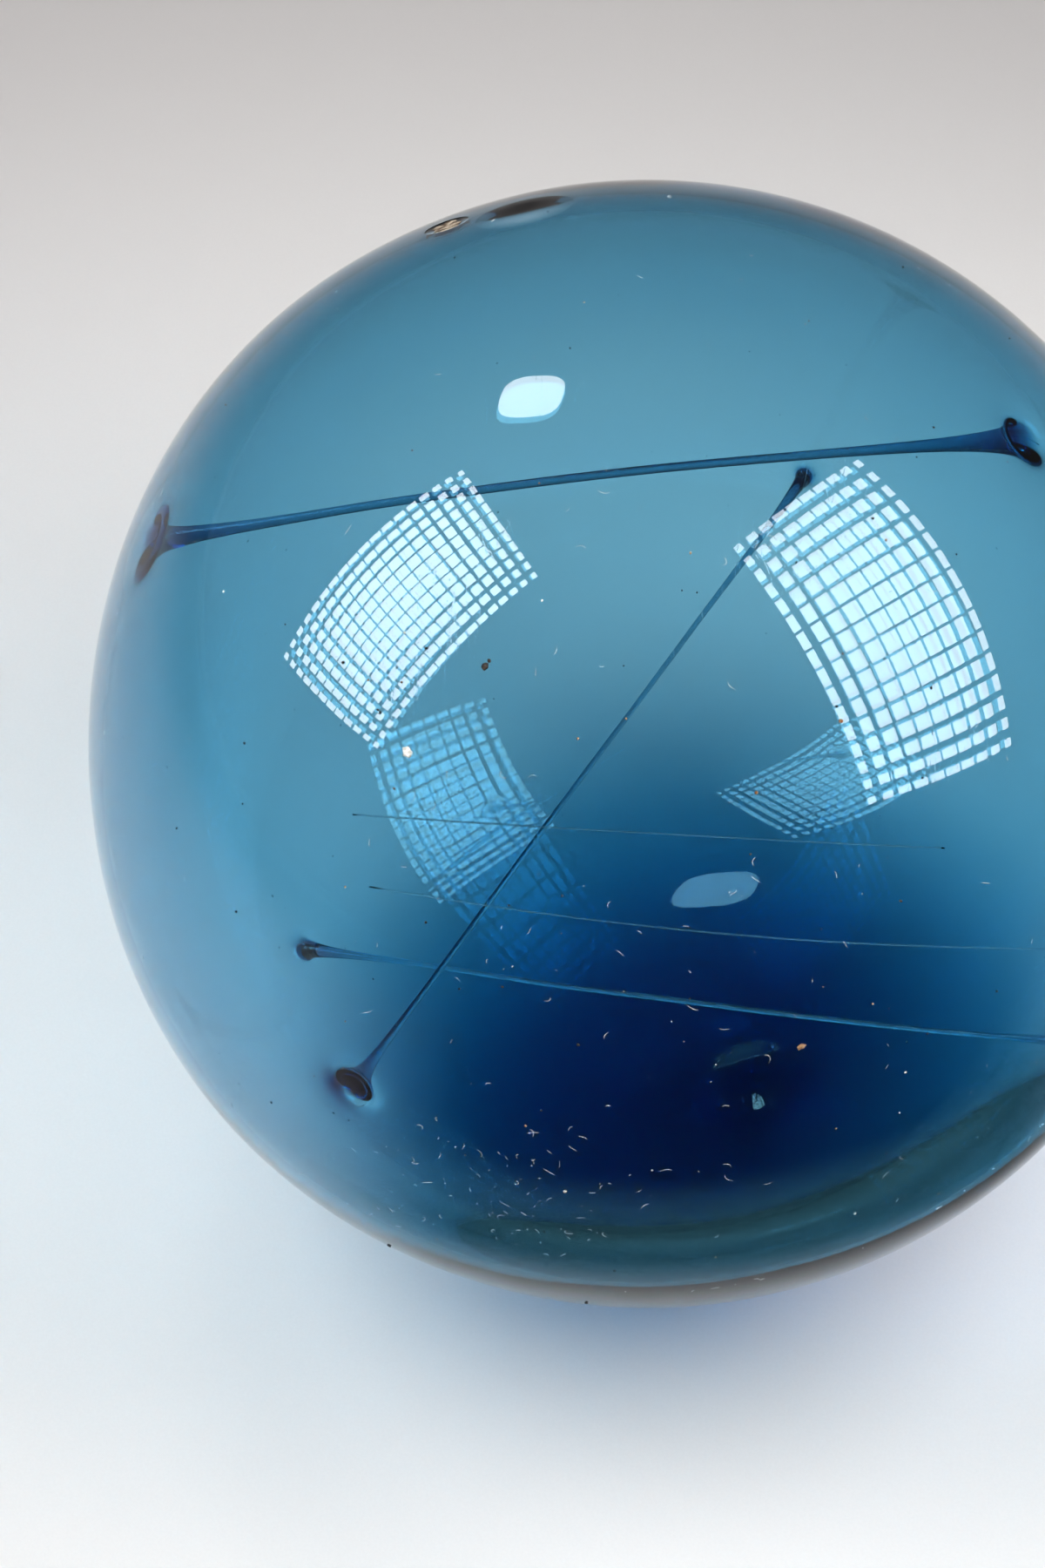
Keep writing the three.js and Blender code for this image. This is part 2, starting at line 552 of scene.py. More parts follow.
@dataclass(frozen=True)
class BallForm:
    """The outside and the inside of the glass, each as a distance from the ball's centre.

    The skin lies a hair inside the CAD ball, so that its swell stays within it.
    """

    radius: float = 75.0 * MM
    skin_inset: float = 0.06 * MM
    seal_radius: float = 17.0 * MM
    seal_height: float = 0.7 * MM
    standing_flat_radius: float = 8.5 * MM
    flat_side_depth: float = 0.7 * MM
    flat_side_spread: float = math.radians(24)
    full_ring_height: float = 0.3 * MM
    full_ring_angle: float = math.radians(47)
    full_ring_spread: float = math.radians(16)
    wall: float = 1.95 * MM
    thick_bottom: float = 8.6 * MM
    thick_bottom_spread: float = math.radians(36.5)
    thick_bottom_steepness: float = 3.2
    seal_lump_height: float = 2.5 * MM
    seal_lump_radius: float = 12.5 * MM
    seal_way: np.ndarray = field(default_factory=lambda: way_at(-34.0, -71.3))
    thick_way: np.ndarray = field(default_factory=lambda: way_at(-41.0, -73.0))
    bubbles: tuple[OpenBubble, ...] = (
        OpenBubble(117.7, 59.0, 12.8 * MM, 12.4 * MM, 0.4 * MM, 0.10),
        OpenBubble(127.8, 52.4, 5.8 * MM, 6.8 * MM, 0.4 * MM, 0.55),
    )
    outer_swell: Ripple = Ripple(0.012 * MM, 26.0, 6.0, 5)
    outer_ripple: Ripple = Ripple(0.0013 * MM, 45.0, 20.0, 17)
    inner_swell: Ripple = Ripple(0.045 * MM, 15.0, 4.0, 11)

    def centre(self) -> np.ndarray:
        """Gives the ball's centre, so that its top meets the top of the CAD ball."""
        return np.array([0.0, 0.0, CAD_HIGH[2] - self.radius])

    def smooth_outside(self, ways: np.ndarray) -> np.ndarray:
        """Gives the outside without its seal, bubbles and swell: a ball with one flat side.

        Args:
            ways: Unit vectors, as rows.

        Returns:
            The distance from the ball's centre along each.
        """
        angle = angle_from(ways, np.array([-1.0, 0.0, 0.0]))
        hollow = self.flat_side_depth * np.exp(-((angle / self.flat_side_spread) ** 2))
        past_ring = (angle - self.full_ring_angle) / self.full_ring_spread
        ring = self.full_ring_height * np.exp(-(past_ring**2))
        return self.radius - self.skin_inset - hollow + ring

    def outside(self, ways: np.ndarray) -> np.ndarray:
        """Gives the whole outside: the seal is a low round mound, and each bubble a hollow.

        Args:
            ways: Unit vectors, as rows.

        Returns:
            The distance from the ball's centre along each.
        """
        from_seal = angle_from(ways, self.seal_way) * self.radius
        seal = self.seal_height * low_mound(from_seal, self.seal_radius)
        total = self.smooth_outside(ways) + seal + self.outer_swell(ways) + self.outer_ripple(ways)
        for bubble in self.bubbles:
            total = total - bubble.hollow(ways, self.radius)
        return total

    def outside_points(self, ways: np.ndarray) -> np.ndarray:
        """Gives points of the outside, worn off level at the standing flat.

        Args:
            ways: Unit vectors, as rows.

        Returns:
            The point along each.
        """
        points = ways * self.outside(ways)[..., None] + self.centre()
        points[..., 2] = np.maximum(points[..., 2], 0.0)
        return points

    def wall_thickness(self, ways: np.ndarray) -> np.ndarray:
        """Gives the wall: even, but thicker low down, with the seal's lump in the middle.

        Args:
            ways: Unit vectors, as rows.

        Returns:
            The wall's thickness along each.
        """
        off = angle_from(ways, self.thick_way) / self.thick_bottom_spread
        low = self.thick_bottom * np.exp(-(off**self.thick_bottom_steepness))
        from_seal = angle_from(ways, self.seal_way) * self.radius
        lump = self.seal_lump_height * low_mound(from_seal, self.seal_lump_radius)
        return self.wall + low + lump + self.inner_swell(ways)

    def inside_points(self, ways: np.ndarray) -> np.ndarray:
        """Gives points of the hollow's surface."""
        distance = self.smooth_outside(ways) - self.wall_thickness(ways)
        return ways * distance[..., None] + self.centre()


@dataclass(frozen=True)
class Foot:
    """Where a thread meets the wall: a trumpet that runs out into the wall.

    Height over the wall is a sum of two terms, each a length times the logarithm
    of one plus a power of (flare over radius), so that the trumpet falls away
    quickly near the wall, tapers slowly along the thread, and lies down flat.
    """

    way: np.ndarray
    flare: float
    flare_length: float
    taper: float
    taper_length: float

    sharpness = 3.0
    spread = 3.2

    def height(self, over: np.ndarray) -> np.ndarray:
        """Gives the height over the wall where the radius is so much over the thread's own.

        Args:
            over: How far each radius is over the thread's own.

        Returns:
            The height at each.
        """
        k = self.sharpness
        flare = self.flare_length * np.log1p((self.flare / over) ** k)
        taper = (self.taper_length - self.flare_length) * np.log1p((self.taper / over) ** k)
        return (flare + taper) / k


@dataclass(frozen=True)
class Thread:
    """A thread of glass drawn across the hollow, from one foot to another."""

    first: Foot
    last: Foot
    radius: float
    sag: float = 0.0
    sag_way: np.ndarray = field(default_factory=lambda: np.array([0.0, 0.0, -1.0]))

    foot_rings = 40
    middle_rings = 40
    spokes = 32
    finest_over = 0.02
    longest_foot = 0.45
    full_width_at = 0.4
    square_at = 1.6

    def spot(self, foot: Foot, form: BallForm) -> Spot:
        """Gives the round place on the wall that a foot covers."""
        reach = foot.spread * foot.flare / form.radius
        return Spot(foot.way, reach, reach)

    def _line(self, form: BallForm, part: np.ndarray) -> np.ndarray:
        """Gives points of the middle line: straight from foot to foot, and a parabola of sag.

        Args:
            form: The ball.
            part: How far along each point is, from 0 to 1.

        Returns:
            The points, as rows.
        """
        a, b = (form.inside_points(foot.way[None])[0] for foot in (self.first, self.last))
        bow = 4.0 * part * (1.0 - part)
        return a + part[:, None] * (b - a) + (self.sag * bow)[:, None] * self.sag_way

    def rings(self, form: BallForm) -> np.ndarray:
        """Works out the thread's skin as rings from the first foot's rim to the last one's.

        Near a foot the ring lies in the wall's tangent plane and follows the wall.
        Away from it, the ring turns square to the middle line.

        Args:
            form: The ball.

        Returns:
            An array of rings by spokes by 3.
        """
        ends = self._line(form, np.array([0.0, 1.0]))
        length = float(np.linalg.norm(ends[1] - ends[0]))
        along = (ends[1] - ends[0]) / length
        side = unit(np.cross(along, [0.0, 0.0, 1.0] if abs(along[2]) < 0.9 else [1.0, 0.0, 0.0]))
        front = np.cross(along, side)
        first = self._foot_rings(form, self.first, ends, side, front)
        last = self._foot_rings(form, self.last, ends, side, front)[::-1]
        inner = np.stack([first[-1], last[0]])
        middles = inner.mean(axis=1)
        part = np.linspace(*((middles - ends[0]) @ along / length), self.middle_rings + 2)[1:-1]
        widths = np.linalg.norm(inner - middles[:, None, :], axis=-1).mean(axis=1)
        width = np.linspace(*widths, self.middle_rings)[:, None, None]
        middle = self._line(form, part)[:, None, :] + width * circle(side, front, self.spokes)
        return np.concatenate([first, middle, last])

    def _foot_rings(self, form: BallForm, foot: Foot, ends: np.ndarray, side: np.ndarray,
                    front: np.ndarray) -> np.ndarray:
        """Works out the rings of one foot, from the wall inwards.

        Args:
            form: The ball.
            foot: The first foot or the last.
            ends: The points of the wall under the first foot and the last.
            side: The thread's first cross direction.
            front: The thread's second cross direction.

        Returns:
            An array of rings by spokes by 3.
        """
        start = ends[0] if foot is self.first else ends[1]
        length = float(np.linalg.norm(ends[1] - ends[0]))
        widest = foot.spread * foot.flare
        dense = np.geomspace(widest, self.finest_over * self.radius, 400)
        rise = foot.height(dense) - foot.height(dense[:1])
        finest = dense[rise < self.longest_foot * length][-1]
        over = np.geomspace(widest, finest, self.foot_rings)
        height = foot.height(over) - foot.height(over[:1])
        radius = over + self.radius * smooth_step(widest, self.full_width_at * widest, over)
        wall_side = unit(side - (side @ foot.way) * foot.way)
        wall_front = unit(front - (front @ foot.way) * foot.way - (front @ wall_side) * wall_side)
        flat = circle(wall_side, wall_front, self.spokes)
        free = smooth_step(0.0, self.square_at * foot.flare, height)[:, None, None]
        cross = (1.0 - free) * flat + free * circle(side, front, self.spokes)
        part = height / length
        line = self._line(form, part if foot is self.first else 1.0 - part)
        angle = (radius / np.linalg.norm(start - form.centre()))[:, None]
        wall_ways = np.cos(angle)[..., None] * foot.way + np.sin(angle)[..., None] * flat
        wall = form.inside_points(wall_ways) - start
        curve = wall - radius[:, None, None] * flat
        return line[:, None, :] + radius[:, None, None] * cross + (1.0 - free) * curve


# ---------------------------------------------------------------------------
# Finishes
# ---------------------------------------------------------------------------


@dataclass
class Wiring:
    """Adds nodes to a node tree and joins them."""

    tree: bpy.types.NodeTree

    def node(self, kind: str, inputs: dict[str | int, object] | None = None,
             **settings: object) -> bpy.types.Node:
        """Adds a node.

        Args:
            kind: The node's type.
            inputs: An output or a plain value for each input that isn't left as it is.
            settings: Its settings by name.

        Returns:
            The node.
        """
        node = self.tree.nodes.new(kind)
        for name, value in settings.items():
            setattr(node, name, value)
        self.fill(node, inputs or {})
        return node

    def fill(self, node: bpy.types.Node, inputs: dict[str | int, object]) -> None:
        """Joins or sets each of a node's inputs that is named."""
        for name, value in inputs.items():
            self.put(node.inputs[name], value)

    def put(self, socket: bpy.types.NodeSocket, value: object) -> None:
        """Joins a socket to an output, or sets it to a plain value.

        Args:
            socket: The input.
            value: An output, or a plain value.
        """
        if isinstance(value, bpy.types.NodeSocket):
            self.tree.links.new(value, socket)
        else:
            socket.default_value = value

    def math(self, kind: str, *values: object) -> bpy.types.NodeSocket:
        """Adds a Math node of a kind over outputs or numbers, and gives its result."""
        node = self.node("ShaderNodeMath", dict(enumerate(values)), operation=kind)
        return node.outputs["Value"]

    def ramp(self, value: object, low: float, high: float,
             top: float = 1.0) -> bpy.types.NodeSocket:
        """Adds a smooth rise from 0 at low to the top value at high.

        Args:
            value: What rises.
            low: Where the rise starts.
            high: Where it ends.
            top: The result from there on.

        Returns:
            The result.
        """
        inputs = {"Value": value, "From Min": low, "From Max": high, "To Max": top}
        node = self.node("ShaderNodeMapRange", inputs, interpolation_type="SMOOTHSTEP")
        return node.outputs["Result"]

    def blend(self, share: object, first: object, second: object) -> bpy.types.NodeSocket:
        """Blends two colours by a share.

        Args:
            share: How much of the second there is.
            first: A colour or an output.
            second: A colour or an output.

        Returns:
            The blended colour.
        """
        node = self.node("ShaderNodeMix", {0: share}, data_type="RGBA")
        colours = [socket for socket in node.inputs if socket.type == "RGBA"]
        self.put(colours[0], first)
        self.put(colours[1], second)
        return next(socket for socket in node.outputs if socket.type == "RGBA")

    def noise(self, place: object, scale: float, detail: float) -> bpy.types.NodeSocket:
        """Adds a noise texture and gives its value."""
        inputs = {"Vector": place, "Scale": scale, "Detail": detail}
        return self.node("ShaderNodeTexNoise", inputs).outputs[0]

    def object_place(self) -> bpy.types.NodeSocket:
        """Gives the place on the object, in metres."""
        return self.node("ShaderNodeTexCoord").outputs["Object"]

    def axes(self, place: object) -> bpy.types.bpy_prop_collection:
        """Splits a place, and gives the outputs X, Y and Z."""
        return self.node("ShaderNodeSeparateXYZ", {"Vector": place}).outputs

    def length(self, place: object) -> bpy.types.NodeSocket:
        """Gives how far a place lies from the origin."""
        return self.node("ShaderNodeVectorMath", {0: place}, operation="LENGTH").outputs["Value"]

    def bump(self, height: object, strength: float, distance: float) -> bpy.types.NodeSocket:
        """Adds a bump and gives its normal."""
        inputs = {"Height": height, "Strength": strength, "Distance": distance}
        return self.node("ShaderNodeBump", inputs).outputs["Normal"]


@dataclass(frozen=True)
class SurfaceWear:
    """The wear that several pieces share, as values: smears, hair-fine scratches and grain."""

    name: str = "surface_wear"
    outputs = ("Smear", "Scratch", "Grain")
    smear_scale: float = 31.0
    smear_edge: Range = (0.56, 0.74)
    scratch_turn: tuple[float, float, float] = (0.3, 0.5, 0.7)
    scratch_stretch: tuple[float, float, float] = (7.0, 0.6, 1.0)
    scratch_scale: float = 60.0
    scratch_width: float = 0.004
    scratch_patch: float = 1.7
    scratch_edge: Range = (0.55, 0.62)
    grain_scale: float = 2600.0

    def tree(self) -> bpy.types.NodeTree:
        """Gives the node group, made the first time it is asked for.

        Returns:
            The node group.
        """
        if self.name in bpy.data.node_groups:
            return bpy.data.node_groups[self.name]
        tree = bpy.data.node_groups.new(self.name, "ShaderNodeTree")
        for output in self.outputs:
            tree.interface.new_socket(output, in_out="OUTPUT", socket_type="NodeSocketFloat")
        wiring = Wiring(tree)
        place = wiring.object_place()
        smear = wiring.ramp(wiring.noise(place, self.smear_scale, 4.0), *self.smear_edge)
        inputs = {"Vector": place, "Rotation": self.scratch_turn, "Scale": self.scratch_stretch}
        stretched = wiring.node("ShaderNodeMapping", inputs).outputs["Vector"]
        lines = wiring.noise(stretched, self.scratch_scale, 2.0)
        ridge = wiring.math("ABSOLUTE", wiring.math("SUBTRACT", lines, 0.5))
        thin = wiring.math("SUBTRACT", 1.0, wiring.ramp(ridge, 0.0, self.scratch_width))
        patches = wiring.noise(place, self.smear_scale * self.scratch_patch, 1.0)
        scratch = wiring.math("MULTIPLY", thin, wiring.ramp(patches, *self.scratch_edge))
        grain = wiring.noise(place, self.grain_scale, 3.0)
        end = wiring.node("NodeGroupOutput")
        for output, value in zip(self.outputs, (smear, scratch, grain)):
            tree.links.new(value, end.inputs[output])
        return tree

    def add(self, wiring: Wiring) -> bpy.types.Node:
        """Adds the group to a material's tree and gives its node."""
        return wiring.node("ShaderNodeGroup", node_tree=self.tree())


def new_material(name: str) -> tuple[bpy.types.Material, Wiring, bpy.types.Node]:
    """Makes a material of one Principled shader.

    Args:
        name: The material's name.

    Returns:
        The material, the wiring of its tree and its shader.
    """
    material = bpy.data.materials.new(name)
    material.use_nodes = True
    return material, Wiring(material.node_tree), material.node_tree.nodes["Principled BSDF"]


@dataclass(frozen=True)
class DeepGlass:
    """Glass that is clear at its skin, with a colour that is all in its depth.

    The depth takes away a share of red, green and blue for each metre.
    """

    name: str
    ior: float
    loss: tuple[float, float, float]
    worn: bool

    smear_roughness = 0.035
    scratch_depth = 0.004 * MM

    def material(self) -> bpy.types.Material:
        """Makes the material.

        Returns:
            The material.
        """
        material, wiring, shader = new_material(self.name)
        wiring.fill(shader, {
            "Base Color": (1.0, 1.0, 1.0, 1.0), "Roughness": 0.0, "IOR": self.ior, "Metallic": 0.0,
            "Transmission Weight": 1.0,
        })
        if self.worn:
            wear = SurfaceWear().add(wiring).outputs
            wiring.fill(shader, {
                "Roughness": wiring.math("MULTIPLY", wear["Smear"], self.smear_roughness),
                "Normal": wiring.bump(wear["Scratch"], 0.25, -self.scratch_depth),
            })
        density = max(self.loss) * 1.25
        colour = (*(1.0 - loss / density for loss in self.loss), 1.0)
        depth = wiring.node("ShaderNodeVolumeAbsorption", {"Color": colour, "Density": density})
        wiring.fill(wiring.tree.nodes["Material Output"], {"Volume": depth.outputs["Volume"]})
        return material


BLUE_GLASS = DeepGlass("blue_glass", 1.5, (450.0, 182.0, 101.0), True)
# Painted shade: the absorbing glass of the threads' dark cores, which stands in for the darkness
# the threads show.
THREAD_PAINTED_SHADE = DeepGlass("thread_painted_shade", 1.0, (1900.0, 760.0, 430.0), False)


@dataclass(frozen=True)
class Dirt:
    """Dry dirt: two colours that mingle, with a rough, grainy skin."""

    name: str
    dark: Colour
    light: Colour
    patch_scale: float
    roughness: float = 0.85

    patch_edge = (0.38, 0.62)
    grain_edge = (0.2, 0.6)
    grain_depth = 0.02 * MM

    def material(self) -> bpy.types.Material:
        """Makes the material.

        Returns:
            The material.
        """
        material, wiring, shader = new_material(self.name)
        grain = SurfaceWear().add(wiring).outputs["Grain"]
        patches = wiring.noise(wiring.object_place(), self.patch_scale, 3.0)
        share = wiring.math("MULTIPLY", wiring.ramp(patches, *self.patch_edge),
                            wiring.ramp(grain, *self.grain_edge))
        wiring.fill(shader, {
            "Base Color": wiring.blend(share, self.dark, self.light),
            "Normal": wiring.bump(grain, 0.6, self.grain_depth),
            "Roughness": self.roughness,
        })
        return material


LINT_WHITE = Dirt("lint_white", (0.50, 0.51, 0.52, 1.0), (0.86, 0.86, 0.84, 1.0), 900.0, 0.7)
GRIT_DARK = Dirt("grit_dark", (0.012, 0.012, 0.014, 1.0), (0.06, 0.045, 0.035, 1.0), 1500.0)
# Pale grit, which also paints one white highlight on the skin.
PALE_GRIT_AND_HIGHLIGHT = Dirt("grit_pale_and_painted_highlight", (0.62, 0.60, 0.55, 1.0), (0.92, 0.91, 0.88, 1.0), 1500.0)
GRIT_TAN = Dirt("grit_tan", (0.22, 0.085, 0.03, 1.0), (0.55, 0.38, 0.22, 1.0), 1500.0)
PIT_CRUST = Dirt("pit_crust", (0.075, 0.042, 0.022, 1.0), (0.66, 0.55, 0.42, 1.0), 700.0)


# ---------------------------------------------------------------------------
# The glass
# ---------------------------------------------------------------------------

LOOK_DOWN = 50.0


def view_way(right: float, up: float, near: float) -> np.ndarray:
    """Gives the unit vector of a place named as the looker sees it.

    Args:
        right: How far right of the ball's middle, in radii.
        up: How far up from it.
        near: How far towards the looker.

    Returns:
        The unit vector in the ball's own frame.
    """
    s, c = math.sin(math.radians(LOOK_DOWN)), math.cos(math.radians(LOOK_DOWN))
    return unit(np.array([right, up * s - near * c, up * c + near * s]))


def front_way(right: float, up: float) -> np.ndarray:
    """Gives the unit vector of a place on the side that faces the looker."""
    return view_way(right, up, math.sqrt(max(0.0, 1.0 - right * right - up * up)))


@dataclass(frozen=True)
class Hair:
    """A hair-fine thread across the hollow that stops just short of the wall at each end."""

    first: np.ndarray
    last: np.ndarray
    sag: float
    radius: float = 0.09 * MM
    gap: float = 0.25 * MM

    def middle_line(self, form: BallForm, part: np.ndarray) -> np.ndarray:
        """Gives points of the middle line: straight, plus a parabola of sag.

        Args:
            form: The ball.
            part: How far along each point is, from 0 to 1.

        Returns:
            The points, as rows.
        """
        inset = 1.0 - self.gap / form.radius
        walls = form.inside_points(np.stack([self.first, self.last]))
        a, b = form.centre() + inset * (walls - form.centre())
        line = a + part[:, None] * (b - a)
        line[:, 2] -= 4.0 * self.sag * part * (1.0 - part)
        return line


def tube_rings(line: np.ndarray, away: np.ndarray, radius: np.ndarray, spokes: int) -> np.ndarray:
    """Gives rings of points round a middle line, that run against the clock about it.

    Args:
        line: Points of the middle line.
        away: A unit vector at each point, roughly square to the line.
        radius: The radius at each point.
        spokes: How many points a ring has.

    Returns:
        An array of rings by spokes by 3.
    """
    along = unit(np.gradient(line, axis=0))
    side = unit(np.cross(away, along))
    ring = circle(side, np.cross(along, side), spokes)
    return line[:, None, :] + radius[:, None, None] * ring


@dataclass(frozen=True)
class Seeds:
    """Tiny bubbles that stayed in the wall when the glass was blown, each a little oval."""

    number: int = 70
    smallest: float = 0.10 * MM
    largest: float = 0.34 * MM
    shape: tuple[float, float, float] = (1.0, 1.4, 0.8)
    depth_share: Range = (0.3, 0.7)
    seed: int = 23

    def add_to(self, skin: Skin, form: BallForm) -> None:
        """Adds the bubbles' skins, which face the air inside them.

        Args:
            skin: The skin they are added to.
            form: The ball.
        """
        draw = np.random.default_rng(self.seed)
        ways = unit(draw.normal(size=(self.number, 3)))
        size = self.smallest + (self.largest - self.smallest) * draw.random(self.number) ** 3
        depth = form.wall_thickness(ways) * draw.uniform(*self.depth_share, self.number)
        middle = ways * (form.smooth_outside(ways) - depth)[:, None] + form.centre()
        halves = size[:, None] * np.array(self.shape) / 2.0
        add_lumps(skin, middle, ways, halves, np.zeros((self.number, 3)), outward=False)


def add_lumps(skin: Skin, middles: np.ndarray, ways: np.ndarray, halves: np.ndarray,
              phases: np.ndarray, outward: bool, lumpiness: float = 0.0) -> None:
    """Adds closed round lumps, each squashed along three ways of its own.

    A lump's radius varies by a product of sines of its round angle and its rise.

    Args:
        skin: The skin they are added to.
        middles: The middle of each lump.
        ways: The unit vector out of the ball at each lump.
        halves: Half of each lump's size across, up and out.
        phases: Three angles for each lump, which shift its unevenness and turn it.
        outward: True if the faces face out of the lump.
        lumpiness: How far the radius varies.
    """
    rings, spokes = 5, 10
    rise = (np.arange(rings) + 1.0) * math.pi / (rings + 1)
    down, turn = np.meshgrid(rise, even_turns(spokes), indexing="ij")
    ball = np.stack([np.sin(down) * np.cos(turn), np.sin(down) * np.sin(turn), -np.cos(down)], -1)
    shift = phases[:, :, None, None]
    wave = np.sin(2.0 * turn + shift[:, 0]) * np.sin(3.0 * down + shift[:, 1])
    wave += 0.6 * np.sin(5.0 * turn + shift[:, 1])
    shape = ball * (1.0 + lumpiness * wave)[..., None] * halves[:, None, None, :]
    level = unit(np.cross([0.0, 0.3, 1.0], ways))
    upward = np.cross(ways, level)
    c, s = np.cos(phases[:, 2, None]), np.sin(phases[:, 2, None])
    across, up = c * level + s * upward, c * upward - s * level
    basis = np.stack([across, up, ways], axis=1)
    points = middles[:, None, None, :] + np.einsum("nrsk,nkj->nrsj", shape, basis)
    poles = ways * halves[:, 2:]
    for lump, low, high in zip(points, middles - poles, middles + poles):
        skin.add_closed(lump, low, high, outward)


@dataclass
class GlassFloat:
    """The whole glass: outside, hollow and threads, in one closed skin.

    A ragged hole is wider than its spot by the clearance, an angle in radians.
    """

    form: BallForm = field(default_factory=BallForm)
    outer_cells: int = 66
    inner_cells: int = 60
    rim_spokes: int = 48
    clearance: float = 0.016
    flat_reach: float = 19.0 * MM
    flat_rim_share: float = 0.94
    bubble_reach: float = 1.18
    threads: tuple[Thread, ...] = field(default_factory=lambda: GlassFloat.drawn_threads())
    seeds: Seeds = Seeds()
    hairs: tuple[Hair, ...] = field(default_factory=lambda: (
        Hair(front_way(-0.469, -0.129), front_way(0.487, -0.149), 0.4 * MM),
        Hair(front_way(-0.439, -0.245), front_way(0.702, -0.314), 3.1 * MM),
    ))
    shade_core_share: float = 0.84
    shade_core_end: float = 1.05

    @staticmethod
    def drawn_threads() -> tuple[Thread, ...]:
        """Gives the three threads: one high across, one from front to back, one low across.

        Returns:
            The threads.
        """
        high = Thread(
            first=Foot(view_way(-0.866, 0.320, 0.382), 2.9 * MM, 1.7 * MM, 0.9 * MM, 6.6 * MM),
            last=Foot(view_way(0.618, 0.531, 0.579), 2.9 * MM, 1.7 * MM, 1.2 * MM, 6.8 * MM),
            radius=0.55 * MM,
            sag=-2.9 * MM,
        )
        steep = Thread(
            first=Foot(view_way(-0.467, -0.586, 0.662), 2.4 * MM, 1.3 * MM, 1.0 * MM, 4.6 * MM),
            last=Foot(view_way(0.309, 0.567, -0.763), 1.9 * MM, 1.4 * MM, 0.5 * MM, 14.0 * MM),
            radius=0.36 * MM,
        )
        low = Thread(
            first=Foot(view_way(-0.672, -0.429, -0.604), 2.1 * MM, 1.5 * MM, 0.8 * MM, 6.0 * MM),
            last=Foot(view_way(0.845, -0.513, 0.15), 2.4 * MM, 1.6 * MM, 0.9 * MM, 6.0 * MM),
            radius=0.33 * MM,
            sag=1.4 * MM,
        )
        return high, steep, low

    def build(self) -> list[bpy.types.Object]:
        """Makes the glass and the dark middles of its threads, which are painted shade.

        Returns:
            The pieces, riding on their body in place of the CAD ball.
        """
        skin = Skin()
        self._add_outside(skin)
        self._add_inside(skin)
        self._add_hairs(skin)
        self.seeds.add_to(skin, self.form)
        glass = skin.to_object("glass_float", Shading.SMOOTH)
        glass.data.materials.append(BLUE_GLASS.material())
        shade_cores = self._painted_shade_cores().to_object("thread_shade_cores", Shading.SMOOTH)
        shade_cores.data.materials.append(THREAD_PAINTED_SHADE.material())
        for piece in (glass, shade_cores):
            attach(piece, BODY)
            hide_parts(BALL_NODE)
        return [glass, shade_cores]

    def _painted_shade_cores(self) -> Skin:
        """Makes dark absorbing glass along the middle of each thread, from foot to foot: painted
        shade that stands in for the darkness the threads show.

        Returns:
            Its skin.
        """
        skin = Skin()
        for thread in self.threads:
            rings = thread.rings(self.form)
            middles = rings.mean(axis=1, keepdims=True)
            width = np.linalg.norm(rings - middles, axis=-1).mean(axis=1)
            early = np.arange(len(rings)) < len(rings) // 2
            widest = np.where(early, thread.first.flare, thread.last.flare)
            kept = width < self.shade_core_end * widest
            core = (middles + self.shade_core_share * (rings - middles))[kept]
            skin.add_closed(core, core[0].mean(axis=0), core[-1].mean(axis=0))
        return skin

    def _add_hairs(self, skin: Skin) -> None:
        """Adds the hair-fine threads.

        Args:
            skin: The skin they are added to.
        """
        part = np.linspace(0.0, 1.0, 40)
        for hair in self.hairs:
            line = hair.middle_line(self.form, part)
            away = np.tile([0.0, 0.0, 1.0], (len(part), 1))
            rings = tube_rings(line, away, np.full(len(part), hair.radius), 8)
            skin.add_closed(rings, line[0], line[-1])

    def _add_outside(self, skin: Skin) -> None:
        """Adds the outside, with finer rings over the standing flat and the burst bubbles.

        Args:
            skin: The skin it is added to.
        """
        form = self.form
        flat_reach = self.flat_reach / form.radius
        spots = [Spot(np.array([0.0, 0.0, -1.0]), flat_reach, flat_reach)]
        spots += [bubble.spot(form.radius, self.bubble_reach) for bubble in form.bubbles]
        rims = [spot.ways_at(np.array([1.0]), self.rim_spokes)[0] for spot in spots]
        ball = HoledBall.cut(self.outer_cells, spots, rims, self.clearance)
        first = skin.add_points(form.outside_points(ball.ways))
        skin.quads.append(ball.quads + first)
        for rim in rims:
            skin.add_points(form.outside_points(rim))
        skin.triangles.append(ball.stitches + first)
        worn = form.standing_flat_radius / form.radius / flat_reach
        flat_rings = np.concatenate([
            np.linspace(self.flat_rim_share, worn * 1.14, 16),
            worn * np.array([1.07, 1.02, 1.0, 0.98, 0.9, 0.7, 0.4]),
        ])
        bowl = np.cos(np.linspace(0.0, math.pi / 2, 15))[:-1]
        lip = np.array([1.14, 1.10, 1.07, 1.04, 1.02])
        bubble_rings = np.concatenate([lip, bowl]) / self.bubble_reach
        reaches = [flat_rings] + [bubble_rings] * len(form.bubbles)
        for spot, rim_start, reach in zip(spots, ball.rim_starts, reaches):
            ways = spot.ways_at(reach, self.rim_spokes)
            start = skin.add_points(form.outside_points(ways))
            middle = skin.add_points(form.outside_points(spot.way[None]))
            skin.join_rings(first + rim_start, start, self.rim_spokes)
            skin.add_tube(start, len(reach), self.rim_spokes, outward=True)
            last = start + (len(reach) - 1) * self.rim_spokes
            skin.add_cap(middle, last, self.rim_spokes, outward=True)

